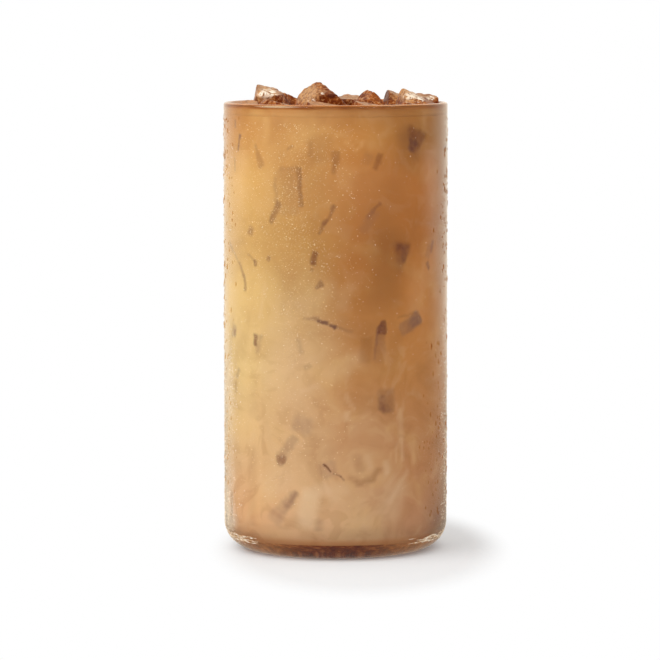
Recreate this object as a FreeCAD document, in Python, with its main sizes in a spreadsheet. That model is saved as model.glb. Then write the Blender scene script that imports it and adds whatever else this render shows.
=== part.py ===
"""Iced cold brew coffee with milk in a tall straight glass, its ice standing out of the top.

Millimetres, +Z up, origin at the middle of the glass's foot, on the table. The glass is a shell of
revolution, the drink fills it to just under the rim, and each piece of ice at the top is a solid of its
own: a broken cube that floats in the drink, part of it above the rim.
"""

import FreeCAD, Part
import math
import os
import random
from collections import namedtuple

import Sketcher

V = FreeCAD.Vector

# ---------------------------------------------------------------- driving dimensions

DIMENSIONS = {
    # the glass
    "glass_radius": 36.0,
    "glass_height": 144.0,
    "wall_thickness": 1.8,
    "floor_thickness": 5.5,
    "foot_corner": 9.0,
    "floor_corner": 6.5,
    "hollow_radius": 21.0,  # the shallow hollow under the foot
    "hollow_depth": 0.9,
    # the drink
    "level_below_rim": 2.0,
    "meniscus_rise": 0.8,
    "meniscus_reach": 2.0,
    # the ice
    "ice_edge": 13.0,
    "ice_gap": 0.8,  # drink between two pieces of ice
    "ice_wall_gap": 0.5,  # drink between the ice and the glass
}

# One piece of ice. across and deep place it as shares of the radius that the ice may fill, +across to the
# right and +deep to the back; rise is how far its peak stands above the rim; edges are shares of ice_edge;
# turn, lean and roll are degrees about Z, X and Y; chip is the seed of its broken corners.
Ice = namedtuple("Ice", "name across deep rise edges turn lean roll chip")

ICE = (
    Ice("ice_left", -0.63, 0.10, 5.4, (0.84, 0.90, 1.00), 4, 10, 12, 24),
    Ice("ice_notch", -0.41, 0.40, 2.2, (0.80, 0.90, 1.00), 30, 8, 28, 6),
    Ice("ice_peak", -0.12, -0.08, 6.4, (1.20, 1.00, 1.05), 25, 12, 40, 5),
    Ice("ice_ridge", 0.19, 0.40, 1.5, (1.10, 1.00, 0.90), 8, 6, 4, 8),
    Ice("ice_tooth", 0.37, -0.04, 3.8, (0.50, 0.90, 1.00), 20, 8, -34, 5),
    Ice("ice_fang", 0.57, 0.26, 3.4, (0.62, 0.85, 1.00), 10, 10, 18, 17),
    Ice("ice_right", 0.735, -0.12, 4.0, (0.80, 1.00, 1.00), 15, 12, 20, 21),
    Ice("ice_corner", 0.865, 0.28, 2.2, (0.66, 0.95, 0.95), 8, 9, -4, 34),
    Ice("ice_far_left", -0.86, -0.28, 0.6, (0.80, 1.00, 0.90), 5, 10, -8, 14),
    Ice("ice_front_left", -0.50, -0.55, 1.2, (1.05, 0.95, 0.95), 40, 7, 12, 23),
    Ice("ice_front", -0.06, -0.68, 0.8, (1.10, 0.95, 0.95), 15, 9, 7, 37),
    Ice("ice_front_right", 0.34, -0.66, 1.2, (0.90, 0.90, 0.95), 28, 12, 11, 60),
    Ice("ice_near_right", 0.72, -0.60, 0.6, (0.85, 0.80, 0.90), 50, 9, 9, 71),
    Ice("ice_back_left", -0.62, 0.62, 1.6, (1.05, 0.90, 1.00), 35, 8, 16, 55),
    Ice("ice_back", -0.10, 0.80, 1.0, (1.00, 0.85, 0.90), 10, 12, 9, 89),
    Ice("ice_back_right", 0.46, 0.76, -0.3, (1.00, 0.85, 0.90), 22, 8, 6, 91),
)

CHIPPED_CORNERS = 7
CHIP_NEAREST = 0.66  # how near a broken corner comes to the middle, as a share of the way to the corner
CHIP_FURTHEST = 0.92
CHIP_WANDER = 0.45  # how far a break leans away from square to its corner

# ---------------------------------------------------------------- document and sheet


def make_sheet(doc):
    """The spreadsheet of driving and derived dimensions, each cell with its alias."""
    sheet = doc.addObject("Spreadsheet::Sheet", "sizes")
    derived = {
        "inner_radius": "=glass_radius - wall_thickness",
        "lip_radius": "=wall_thickness / 2",
        "lip_height": "=glass_height - lip_radius",
        "level": "=glass_height - level_below_rim",
        "meniscus_top": "=level + meniscus_rise",
        "surface_radius": "=inner_radius - meniscus_reach",
        "foot_radius": "=glass_radius - foot_corner",
        "floor_radius": "=inner_radius - floor_corner",
        "floor_corner_top": "=floor_thickness + floor_corner",
        "ice_radius": "=inner_radius - ice_wall_gap",
    }
    cells = list(DIMENSIONS.items()) + list(derived.items())
    for row, (alias, value) in enumerate(cells, start=1):
        sheet.set(f"A{row}", alias)
        sheet.set(f"B{row}", str(value))
        sheet.setAlias(f"B{row}", alias)
    doc.recompute()
    return sheet


# ---------------------------------------------------------------- sketches of revolved pieces

AXIS = "axis"  # a point's place where it lies on the axis of revolution or on the table
CENTRE = 3  # the sketcher's number for an arc's centre

# An arc of a profile: the coordinate of its centre that is tied, the cell or AXIS that it is tied to, and
# a function of the sheet that gives the centre from which the solver starts.
Bend = namedtuple("Bend", "kind place guess")


def origin_plane(body, role):
    return next(f for f in body.Origin.OriginFeatures if f.Role == role)


def bind(sketch, kind, geometry, point, place):
    """Ties one coordinate of a sketch point to a cell, or to an axis of the sketch."""
    if place == AXIS:
        axis = -2 if kind == "DistanceX" else -1
        sketch.addConstraint(Sketcher.Constraint("PointOnObject", geometry, point, axis))
        return
    value = getattr(sketch.Document.sizes, place)
    index = sketch.addConstraint(Sketcher.Constraint(kind, -1, 1, geometry, point, value))
    role = "centre" if point == CENTRE else "corner"
    name = f"{place}_{role}_{geometry}_{kind[-1]}"
    sketch.renameConstraint(index, name)
    sketch.setExpression(f"Constraints.{name}", f"<<sizes>>.{place}")


def revolved(doc, name, corners, bends):
    """A body turned about Z from a closed profile.

    corners are (radius, height) pairs of cell names or AXIS, in order round the profile. bends gives the
    Bend of each edge that is an arc, by the number of the corner where that edge starts.
    """
    sizes = doc.sizes

    def at(place):
        return 0.0 if place == AXIS else getattr(sizes, place)

    body = doc.addObject("PartDesign::Body", name)
    sketch = body.newObject("Sketcher::SketchObject", f"{name}_profile")
    sketch.AttachmentSupport = (origin_plane(body, "XZ_Plane"), [""])
    sketch.MapMode = "FlatFace"
    points = [V(at(x), at(z), 0) for x, z in corners]
    count = len(points)
    ends = []
    for i in range(count):
        start, end = points[i], points[(i + 1) % count]
        if i in bends:
            edge = arc_between(start, end, bends[i].guess(sizes))
            sketch.addGeometry(edge, False)
            runs_forward = (edge.StartPoint - start).Length < (edge.StartPoint - end).Length
            ends.append((1, 2) if runs_forward else (2, 1))
        else:
            sketch.addGeometry(Part.LineSegment(start, end), False)
            ends.append((1, 2))
    for i in range(count):
        after = (i + 1) % count
        sketch.addConstraint(
            Sketcher.Constraint("Coincident", i, ends[i][1], after, ends[after][0])
        )
    for i, (x, z) in enumerate(corners):
        bind(sketch, "DistanceX", i, ends[i][0], x)
        bind(sketch, "DistanceY", i, ends[i][0], z)
    for i, bend in bends.items():
        bind(sketch, bend.kind, i, CENTRE, bend.place)
    doc.recompute()
    turn = body.newObject("PartDesign::Revolution", f"{name}_turn")
    turn.Profile = sketch
    turn.ReferenceAxis = (sketch, ["V_Axis"])
    turn.Angle = 360.0
    body.Tip = turn
    doc.recompute()
    return body


def arc_between(start, end, centre):
    """The shorter arc between two points about centre, as an anticlockwise sketch arc."""
    radius = (start - centre).Length
    a = math.atan2(start.y - centre.y, start.x - centre.x)
    b = math.atan2(end.y - centre.y, end.x - centre.x)
    sweep = (b - a) % (2 * math.pi)
    if sweep > math.pi:
        a, sweep = b, 2 * math.pi - sweep
    circle = Part.Circle(centre, V(0, 0, 1), radius)
    return Part.ArcOfCircle(circle, a, a + sweep)


# ---------------------------------------------------------------- the glass and what fills it


def make_glass(doc):
    """The glass: thick floor, round foot and lip, and a shallow hollow under the foot."""
    corners = (
        (AXIS, "hollow_depth"),
        ("hollow_radius", AXIS),
        ("foot_radius", AXIS),
        ("glass_radius", "foot_corner"),
        ("glass_radius", "lip_height"),
        ("inner_radius", "lip_height"),
        ("inner_radius", "floor_corner_top"),
        ("floor_radius", "floor_thickness"),
        (AXIS, "floor_thickness"),
    )

    def under_foot(s):
        drop = (s.hollow_radius**2 - s.hollow_depth**2) / (2 * s.hollow_depth)
        return V(0, -drop, 0)

    bends = {
        0: Bend("DistanceX", AXIS, under_foot),
        2: Bend("DistanceX", "foot_radius", lambda s: V(s.foot_radius, s.foot_corner, 0)),
        4: Bend("DistanceY", "lip_height", lambda s: V(s.inner_radius + s.lip_radius, s.lip_height, 0)),
        6: Bend("DistanceX", "floor_radius", lambda s: V(s.floor_radius, s.floor_corner_top, 0)),
    }
    return revolved(doc, "glass", corners, bends)


def make_fill(doc):
    """All that the glass holds, before the ice is taken out: it climbs a little where it meets the wall."""
    corners = (
        (AXIS, "floor_thickness"),
        ("floor_radius", "floor_thickness"),
        ("inner_radius", "floor_corner_top"),
        ("inner_radius", "meniscus_top"),
        ("surface_radius", "level"),
        (AXIS, "level"),
    )

    def over_surface(s):
        radius = (s.meniscus_reach**2 + s.meniscus_rise**2) / (2 * s.meniscus_rise)
        return V(s.surface_radius, s.level + radius, 0)

    bends = {
        1: Bend("DistanceX", "floor_radius", lambda s: V(s.floor_radius, s.floor_corner_top, 0)),
        3: Bend("DistanceX", "surface_radius", over_surface),
    }
    return revolved(doc, "fill", corners, bends)


# ---------------------------------------------------------------- the ice


def keep_side(solid, point, outward):
    """What is left of a solid behind the plane through point that faces outward."""
    reach = solid.BoundBox.DiagonalLength + (point - solid.BoundBox.Center).Length
    block = Part.makeBox(2 * reach, 2 * reach, reach, V(-reach, -reach, -reach))
    block.Placement = FreeCAD.Placement(point, FreeCAD.Rotation(V(0, 0, 1), outward))
    return solid.common(block)


def broken_cube(edges, piece):
    """A cube of ice about the origin, with some of its corners broken off."""
    size = V(*edges)
    half = size * 0.5
    solid = Part.makeBox(size.x, size.y, size.z, half * -1)
    dice = random.Random(piece.chip)
    corners = [(x, y, z) for x in (-1, 1) for y in (-1, 1) for z in (-1, 1)]
    for x, y, z in dice.sample(corners, CHIPPED_CORNERS):
        corner = V(x * half.x, y * half.y, z * half.z)
        wander = V(*(dice.uniform(-CHIP_WANDER, CHIP_WANDER) for _ in range(3)))
        outward = V(x, y, z) + wander
        share = dice.uniform(CHIP_NEAREST, CHIP_FURTHEST)
        solid = keep_side(solid, corner * share, outward)
    return solid


def place_of(sizes, piece):
    return V(piece.across * sizes.ice_radius, piece.deep * sizes.ice_radius, 0)


def make_ice(doc, piece):
    """One piece of ice, kept clear of its neighbours and of the glass, its peak at its own rise."""
    sizes = doc.sizes
    solid = broken_cube([share * sizes.ice_edge for share in piece.edges], piece)
    turned = FreeCAD.Rotation(piece.turn, piece.roll, piece.lean)
    solid.Placement = FreeCAD.Placement(place_of(sizes, piece), turned)
    here = place_of(sizes, piece)
    for other in ICE:
        if other is piece:
            continue
        away = place_of(sizes, other) - here
        if away.Length < 2 * sizes.ice_edge:
            middle = here + away * 0.5
            away.normalize()
            solid = keep_side(solid, middle - away * (sizes.ice_gap / 2), away)
    well = Part.makeCylinder(sizes.ice_radius, 4 * sizes.ice_edge, V(0, 0, -2 * sizes.ice_edge))
    solid = solid.common(well)
    solid = solid.removeSplitter().Solids[0]
    peak = sizes.glass_height + piece.rise
    solid.translate(V(0, 0, peak - solid.BoundBox.ZMax))
    feature = doc.addObject("Part::Feature", piece.name)
    feature.Shape = solid
    return feature


def make_coffee(doc, fill, pieces):
    """The drink: what fills the glass, less the ice that floats in it."""
    ice = doc.addObject("Part::MultiFuse", "all_ice")
    ice.Shapes = pieces
    coffee = doc.addObject("Part::Cut", "coffee")
    coffee.Base = fill
    coffee.Tool = ice
    doc.recompute()
    return coffee


# ---------------------------------------------------------------- build, check and write


def refuse_faults(doc, subparts):
    """Stops the build if any object failed, or a sub-part has no valid solid."""
    for item in doc.Objects:
        if "Invalid" in item.State or "Error" in item.State:
            raise RuntimeError(f"{item.Label} failed: {item.State}")
    for item in subparts:
        shape = item.Shape
        if shape.isNull() or not shape.isValid() or len(shape.Solids) != 1:
            raise RuntimeError(f"{item.Label} is not one valid solid")


def main():
    doc = FreeCAD.newDocument("iced_coffee")
    make_sheet(doc)
    glass = make_glass(doc)
    fill = make_fill(doc)
    pieces = [make_ice(doc, piece) for piece in ICE]
    coffee = make_coffee(doc, fill, pieces)
    subparts = [glass, coffee] + pieces
    doc.recompute()
    refuse_faults(doc, subparts)
    os.makedirs("parts", exist_ok=True)
    for item in subparts:
        item.Shape.exportStep(f"parts/{item.Label}.step")
        box = item.Shape.BoundBox
        print(f"{item.Label}: {item.Shape.Volume / 1000:.2f} cm3, top {box.ZMax:.2f} mm")


main()
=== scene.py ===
"""Iced cold brew coffee with milk in a tall straight glass: the finish of every piece.

The glass and the drink are turned afresh from the sizes of their solids, fine enough for clear glass. The
ice at the top is made from its own solids, rounded and pitted as melting ice is. What is too small or too
deep for a solid is added here: ice sunk in the drink, a film of coffee up to the lip, bubbles against the
glass, on its outside drops and mist of condensation, and thin pale streaks of painted light round its foot.
"""

import math
import random
from collections import namedtuple

import bmesh
import bpy
import numpy as np
from mathutils import Matrix, Vector, noise


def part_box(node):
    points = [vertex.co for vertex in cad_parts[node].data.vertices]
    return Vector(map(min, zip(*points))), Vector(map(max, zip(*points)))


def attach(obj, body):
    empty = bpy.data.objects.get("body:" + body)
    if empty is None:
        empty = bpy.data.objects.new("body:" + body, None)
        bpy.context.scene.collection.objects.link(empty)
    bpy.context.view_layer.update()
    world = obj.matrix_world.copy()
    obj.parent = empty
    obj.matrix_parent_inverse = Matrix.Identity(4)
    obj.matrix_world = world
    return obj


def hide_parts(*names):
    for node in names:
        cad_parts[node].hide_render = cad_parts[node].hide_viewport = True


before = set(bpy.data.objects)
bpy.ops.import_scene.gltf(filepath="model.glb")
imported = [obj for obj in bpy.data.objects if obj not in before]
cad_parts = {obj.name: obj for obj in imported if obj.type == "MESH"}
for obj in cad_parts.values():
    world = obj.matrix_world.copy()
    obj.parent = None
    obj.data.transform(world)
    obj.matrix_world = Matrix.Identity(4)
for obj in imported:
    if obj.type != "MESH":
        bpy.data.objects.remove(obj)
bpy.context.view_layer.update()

MM = 0.001
BODY = "root"

# ---------------------------------------------------------------- sizes

_, glass_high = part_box("glass")
drink_low, drink_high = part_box("coffee")

GLASS_RADIUS = glass_high.x
GLASS_HEIGHT = glass_high.z
INNER_RADIUS = drink_high.x
LIP_RADIUS = (GLASS_RADIUS - INNER_RADIUS) / 2
FLOOR_THICKNESS = drink_low.z
FOOT_CORNER = 9.0 * MM
FLOOR_CORNER = 6.5 * MM
HOLLOW_RADIUS = 21.0 * MM
HOLLOW_DEPTH = 0.9 * MM
LEVEL = GLASS_HEIGHT - 2.0 * MM
MENISCUS_TOP = drink_high.z
MENISCUS_REACH = 2.0 * MM
INTO_WALL = 0.1 * MM  # how far the drink reaches into the glass, so that no air shows between them
WALL = INNER_RADIUS + INTO_WALL

# ---------------------------------------------------------------- colours


def paint(code):
    """A colour written as six hex digits, as the shader reads it."""
    parts = [int(code[i : i + 2], 16) / 255 for i in (0, 2, 4)]
    linear = [c / 12.92 if c <= 0.04045 else ((c + 0.055) / 1.055) ** 2.4 for c in parts]
    return (*linear, 1.0)


# ---------------------------------------------------------------- node trees


class Tree:
    """Adds nodes to a node tree: each call makes one node and links or sets its inputs."""

    def __init__(self, tree):
        self.tree = tree

    def node(self, kind, inputs=None, **settings):
        node = self.tree.nodes.new(kind)
        for name, value in settings.items():
            setattr(node, name, value)
        for name, value in (inputs or {}).items():
            if isinstance(value, bpy.types.NodeSocket):
                self.tree.links.new(value, node.inputs[name])
            else:
                node.inputs[name].default_value = value
        return node

    def place(self):
        """Where a point of the piece is, in metres."""
        return self.node("ShaderNodeTexCoord").outputs["Object"]

    def parts(self, vector):
        """The X, Y and Z of a vector, by name."""
        return self.node("ShaderNodeSeparateXYZ", {"Vector": vector}).outputs

    def attribute(self, name):
        return self.node("ShaderNodeAttribute", attribute_name=name).outputs["Fac"]

    def maths(self, operation, a, b=0.0, clamp=False):
        inputs = {0: a, 1: b}
        return self.node("ShaderNodeMath", inputs, operation=operation, use_clamp=clamp).outputs[0]

    def vector_maths(self, operation, a, b):
        return self.node("ShaderNodeVectorMath", {0: a, 1: b}, operation=operation).outputs[0]

    def length(self, vector):
        return self.node("ShaderNodeVectorMath", {0: vector}, operation="LENGTH").outputs["Value"]

    def mix(self, share, low, high):
        """The colour low where share is 0, and high where it is 1."""
        return self.node("ShaderNodeMix", {0: share, 6: low, 7: high}, data_type="RGBA").outputs[2]

    def mix_shader(self, share, low, high):
        return self.node("ShaderNodeMixShader", {0: share, 1: low, 2: high}).outputs[0]

    def ease(self, value, start, end, low=0.0, high=1.0):
        """low before start, high after end, and a smooth step between."""
        inputs = {"Value": value, "From Min": start, "From Max": end, "To Min": low, "To Max": high}
        return self.node("ShaderNodeMapRange", inputs, interpolation_type="SMOOTHSTEP").outputs[0]

    def clouds(self, place, size, detail=2.0, roughness=0.5):
        """Noise about 0.5 whose lumps are size metres across."""
        inputs = {"Vector": place, "Scale": 1.0 / size, "Detail": detail, "Roughness": roughness}
        return self.node("ShaderNodeTexNoise", inputs).outputs["Fac"]

    def warp(self, place, size, reach):
        """place, pushed about by up to reach metres in eddies of about size metres."""
        eddies = self.node("ShaderNodeTexNoise", {"Vector": place, "Scale": 1.0 / size, "Detail": 1.5})
        centred = self.vector_maths("SUBTRACT", eddies.outputs["Color"], (0.5, 0.5, 0.5))
        pushed = self.node("ShaderNodeVectorMath", {0: centred, "Scale": 2 * reach}, operation="SCALE")
        return self.vector_maths("ADD", place, pushed.outputs[0])

    def ramp(self, value, stops):
        """A colour that changes with value; stops are (value, colour)."""
        node = self.node("ShaderNodeValToRGB", {"Fac": value})
        elements = node.color_ramp.elements
        while len(elements) < len(stops):
            elements.new(0.5)
        for element, (position, colour) in zip(elements, stops):
            element.position = position
            element.color = colour
        return node.outputs["Color"]

    def bump(self, height, strength, distance):
        inputs = {"Height": height, "Strength": strength, "Distance": distance}
        return self.node("ShaderNodeBump", inputs).outputs["Normal"]

    def principled(self, inputs):
        return self.node("ShaderNodeBsdfPrincipled", inputs).outputs[0]

    def clear_to_lamps(self, shader, tint):
        """The shader as it is seen, but see-through to the lamps, so that they light what is behind it."""
        clear = self.node("ShaderNodeBsdfTransparent", {"Color": tint}).outputs[0]
        shadow = self.node("ShaderNodeLightPath").outputs["Is Shadow Ray"]
        return self.mix_shader(shadow, shader, clear)

    def surface(self, shader):
        """Makes the shader the material's surface."""
        self.node("ShaderNodeOutputMaterial", {"Surface": shader})


def new_material(name):
    """A material with an empty tree, and that tree."""
    material = bpy.data.materials.new(name)
    material.use_nodes = True
    material.node_tree.nodes.clear()
    return material, Tree(material.node_tree)


def new_group(name, outputs):
    """A node group and its tree; outputs maps the name of each output to its kind."""
    group = bpy.data.node_groups.new(name, "ShaderNodeTree")
    for socket, kind in outputs.items():
        group.interface.new_socket(socket, in_out="OUTPUT", socket_type=kind)
    return group, Tree(group)


# ---------------------------------------------------------------- meshes


def finish_mesh(name, bm, materials):
    """An object of the bmesh, at the origin, its materials in order. The bmesh is used up."""
    mesh = bpy.data.meshes.new(name)
    bm.to_mesh(mesh)
    bm.free()
    mesh.polygons.foreach_set("use_smooth", [True] * len(mesh.polygons))
    for material in materials:
        mesh.materials.append(material)
    piece = bpy.data.objects.new(name, mesh)
    bpy.context.scene.collection.objects.link(piece)
    return piece


def vertex_places(mesh):
    """Where the vertices of a mesh are, one row of three for each."""
    spots = np.zeros(len(mesh.vertices) * 3)
    mesh.vertices.foreach_get("co", spots)
    return spots.reshape(-1, 3)


def give_attribute(piece, name, values):
    """A number for each vertex of the piece, for its material to read."""
    attribute = piece.data.attributes.new(name, "FLOAT", "POINT")
    attribute.data.foreach_set("value", values)


def place_piece(piece, slot, *nodes):
    """Ties a finished piece to the body and hides the solids that it stands for; slot, its kind of material,
    is not used.
    """
    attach(piece, BODY)
    if nodes:
        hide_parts(*nodes)


def arc(centre, radius, start, end, steps):
    """(radius, height) points of an arc, from one angle to another in degrees, both ends included."""
    points = []
    for i in range(steps + 1):
        angle = math.radians(start + (end - start) * i / steps)
        points.append((centre[0] + radius * math.cos(angle), centre[1] + radius * math.sin(angle)))
    return points


def run(start, end, step):
    """(radius, height) points of a straight run, about step apart, without its last point."""
    count = max(1, round(math.dist(start, end) / step))
    return [
        (start[0] + (end[0] - start[0]) * i / count, start[1] + (end[1] - start[1]) * i / count)
        for i in range(count)
    ]


def lathe(profile, sectors):
    """A bmesh turned about Z from (radius, height) points; sectors are (sweep in degrees, steps) in turn.

    The first sector starts at the middle of the front, turned back by half its sweep.
    """
    bm = bmesh.new()
    start = math.radians(-90 - sectors[0][0] / 2)
    for sweep, steps in sectors:
        side = (math.cos(start), math.sin(start))
        chain = [bm.verts.new((r * side[0], r * side[1], z)) for r, z in profile]
        edges = [bm.edges.new(pair) for pair in zip(chain, chain[1:])]
        bmesh.ops.spin(
            bm,
            geom=chain + edges,
            cent=(0, 0, 0),
            axis=(0, 0, 1),
            angle=math.radians(sweep),
            steps=steps,
            use_merge=sweep == 360,
        )
        start += math.radians(sweep)
    bmesh.ops.remove_doubles(bm, verts=bm.verts, dist=0.5e-6)
    bmesh.ops.recalc_face_normals(bm, faces=bm.faces)
    return bm


def repeated(unit, places):
    """A bmesh with a copy of the unit bmesh at each place, a 4 x 4 matrix. The unit is used up."""
    power = bpy.data.meshes.new("power")
    unit.to_mesh(power)
    unit.free()
    shape = np.column_stack([vertex_places(power), np.ones(len(power.vertices))])
    bm = bmesh.new()
    left = len(places)
    while left:
        if left & 1:
            bm.from_mesh(power)
        left >>= 1
        twice = bmesh.new()
        twice.from_mesh(power)
        twice.from_mesh(power)
        twice.to_mesh(power)
        twice.free()
    bpy.data.meshes.remove(power)
    placed = np.einsum("nij,vj->nvi", np.array(places), shape)[:, :, :3]
    for v, spot in zip(bm.verts, placed.reshape(-1, 3)):
        v.co = spot
    bm.normal_update()
    return bm


# ---------------------------------------------------------------- the glass

GLASS_STEPS = 240
GLASS_TINT = "FDFDFB"
RIM_TINT = "F4DCB4"
# the bottom of the foot: a painted reflection of the drink
FOOT_PAINTED_REFLECTION = "C88850"
WARM_SHEEN = "FFF0D8"
FILM_COLOUR = "B87840"  # the coffee left on the glass between the level and the lip
FILM_LIGHT = "D09A60"
FILM_THICKNESS = 0.2 * MM
FILM_UNDER = 0.12 * MM  # how far inside the lip's own surface the film lies
FILM_FOOT = 2.5 * MM  # how far below the level the film tapers off into the drink
# the colour of the painted highlights on the lip
PAINTED_GLINT_CREAM = "FFF6E8"

# Painted highlights on the front of the lip, drawn as thin creamy lines on the film where the lamps' glints
# fall: the middle of each, its reach to either side and its height, in mm.
PaintedGlint = namedtuple("PaintedGlint", "across reach height share")
PAINTED_GLINTS = (PaintedGlint(-18.6, 8.5, 143.3, 1.0), PaintedGlint(17.4, 7.5, 143.9, 0.2))
PAINTED_GLINT_WIDTH = 0.4 * MM


def glass_material():
    """Clear glass that lets the lamps through to the drink, a little amber at its rim, and amber at the
    bottom of its foot as a painted reflection of the drink.
    """
    material, tree = new_material("clear_glass")
    place = tree.place()
    waves = tree.clouds(place, 30 * MM, detail=1.0)
    height = tree.parts(place)["Z"]
    rim = tree.ease(height, LEVEL + 0.2 * MM, MENISCUS_TOP)
    tint = tree.mix(rim, paint(GLASS_TINT), paint(RIM_TINT))
    # painted reflection: the bottom edge of the foot is tinted amber as if it showed the drink
    foot = tree.ease(height, 0.9 * MM, 0.2 * MM, 0.0, 0.8)
    tint = tree.mix(foot, tint, paint(FOOT_PAINTED_REFLECTION))
    glass = tree.principled(
        {
            "Base Color": tint,
            "Sheen Weight": 0.35,
            "Sheen Roughness": 0.3,
            "Sheen Tint": paint(WARM_SHEEN),
            "Roughness": 0.0,
            "IOR": 1.5,
            "Transmission Weight": 1.0,
            "Normal": tree.bump(waves, 0.05, 0.4 * MM),
        }
    )
    tree.surface(tree.clear_to_lamps(glass, (0.97, 0.97, 0.97, 1.0)))
    return material


def make_glass():
    """The glass: shallow hollow under the foot, round foot and lip, thick floor with a round corner."""
    foot_radius = GLASS_RADIUS - FOOT_CORNER
    floor_radius = INNER_RADIUS - FLOOR_CORNER
    floor_corner_top = FLOOR_THICKNESS + FLOOR_CORNER
    lip_height = GLASS_HEIGHT - LIP_RADIUS
    drop = (HOLLOW_RADIUS**2 - HOLLOW_DEPTH**2) / (2 * HOLLOW_DEPTH)
    hollow_turn = math.degrees(math.asin(HOLLOW_RADIUS / (drop + HOLLOW_DEPTH)))
    profile = arc((0, -drop), drop + HOLLOW_DEPTH, 90, 90 - hollow_turn, 12)
    profile += arc((foot_radius, FOOT_CORNER), FOOT_CORNER, -90, 0, 20)
    profile += run((GLASS_RADIUS, FOOT_CORNER), (GLASS_RADIUS, lip_height), 4 * MM)[1:]
    profile += arc((INNER_RADIUS + LIP_RADIUS, lip_height), LIP_RADIUS, 0, 180, 16)
    profile += run((INNER_RADIUS, lip_height), (INNER_RADIUS, floor_corner_top), 4 * MM)[1:]
    profile += arc((floor_radius, floor_corner_top), FLOOR_CORNER, 0, -90, 16)
    profile += run((floor_radius, FLOOR_THICKNESS), (0, FLOOR_THICKNESS), 4 * MM)[1:]
    profile.append((0, FLOOR_THICKNESS))
    glass = finish_mesh("glass_tumbler", lathe(profile, [(360, GLASS_STEPS)]), [glass_material()])
    place_piece(glass, "glass", "glass")


def film_material(drink_colour):
    """Like the side of the drink low down and darker above it, with painted highlights on the front of the
    lip in thin creamy lines.
    """
    material, tree = new_material("coffee_film")
    body = tree.node("ShaderNodeGroup", node_tree=drink_colour).outputs["Color"]
    place = tree.place()
    spot = tree.parts(place)
    runs = tree.clouds(place, 9 * MM, detail=2.0)
    tint = tree.mix(tree.ease(runs, 0.3, 0.7, 0.0, 0.7), paint(FILM_COLOUR), paint(FILM_LIGHT))
    body = tree.mix(tree.ease(spot["Z"], LEVEL + 0.2 * MM, LEVEL + 0.7 * MM), body, tint)
    # painted highlights: creamy lines on the front of the lip only, where the lamps would glint
    for line in PAINTED_GLINTS:
        along = tree.maths("DIVIDE", tree.maths("SUBTRACT", spot["X"], line.across * MM), line.reach * MM)
        above = tree.maths("DIVIDE", tree.maths("SUBTRACT", spot["Z"], line.height * MM), PAINTED_GLINT_WIDTH)
        away = tree.maths("ADD", tree.maths("MULTIPLY", along, along), tree.maths("MULTIPLY", above, above))
        front = tree.ease(spot["Y"], 0.0, -10 * MM, 0.0, line.share)
        body = tree.mix(tree.maths("MULTIPLY", tree.ease(away, 1.0, 0.2), front), body, paint(PAINTED_GLINT_CREAM))
    film = tree.principled(
        {
            "Base Color": body,
            "Roughness": 0.5,
            "Specular IOR Level": 0.1,
            "Normal": tree.bump(runs, 0.2, 0.1 * MM),
        }
    )
    tree.surface(film)
    return material


def make_film(drink_colour):
    """The film of coffee over the level, up the inside of the glass and over its round lip."""
    middle = (INNER_RADIUS + LIP_RADIUS, GLASS_HEIGHT - LIP_RADIUS)
    near = LIP_RADIUS - FILM_UNDER
    far = near - FILM_THICKNESS
    foot = (WALL - 0.1 * MM, LEVEL - FILM_FOOT)
    profile = [foot, (WALL - 0.05 * MM, LEVEL - FILM_FOOT + 0.3 * MM)]
    profile += arc(middle, near, 180, 40, 14)
    profile += arc(middle, far, 40, 180, 14)
    profile.append((middle[0] - far, LEVEL - 0.4 * MM))
    profile.append(foot)
    film = finish_mesh("coffee_film", lathe(profile, [(360, GLASS_STEPS)]), [film_material(drink_colour)])
    place_piece(film, "coffee")


# ---------------------------------------------------------------- ice sunk in the drink

# A piece of ice that shows through the drink where it lies against the glass. across is measured round the
# inside of the glass from the middle of the front, + to the right; turn leans its long side to the right;
# soft is the width of its blurred edge; warm is how brown it is; fade is how much of it is lost towards its
# lower end (- for the upper end), and side towards its right side (- for the left); taper narrows the lower
# end. In mm and degrees.
SHARD_FIELDS = "across height long wide turn shade soft warm fade side taper"
Shard = namedtuple("Shard", SHARD_FIELDS, defaults=(0.0, 0.0, 0.0, 0.0))

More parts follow.
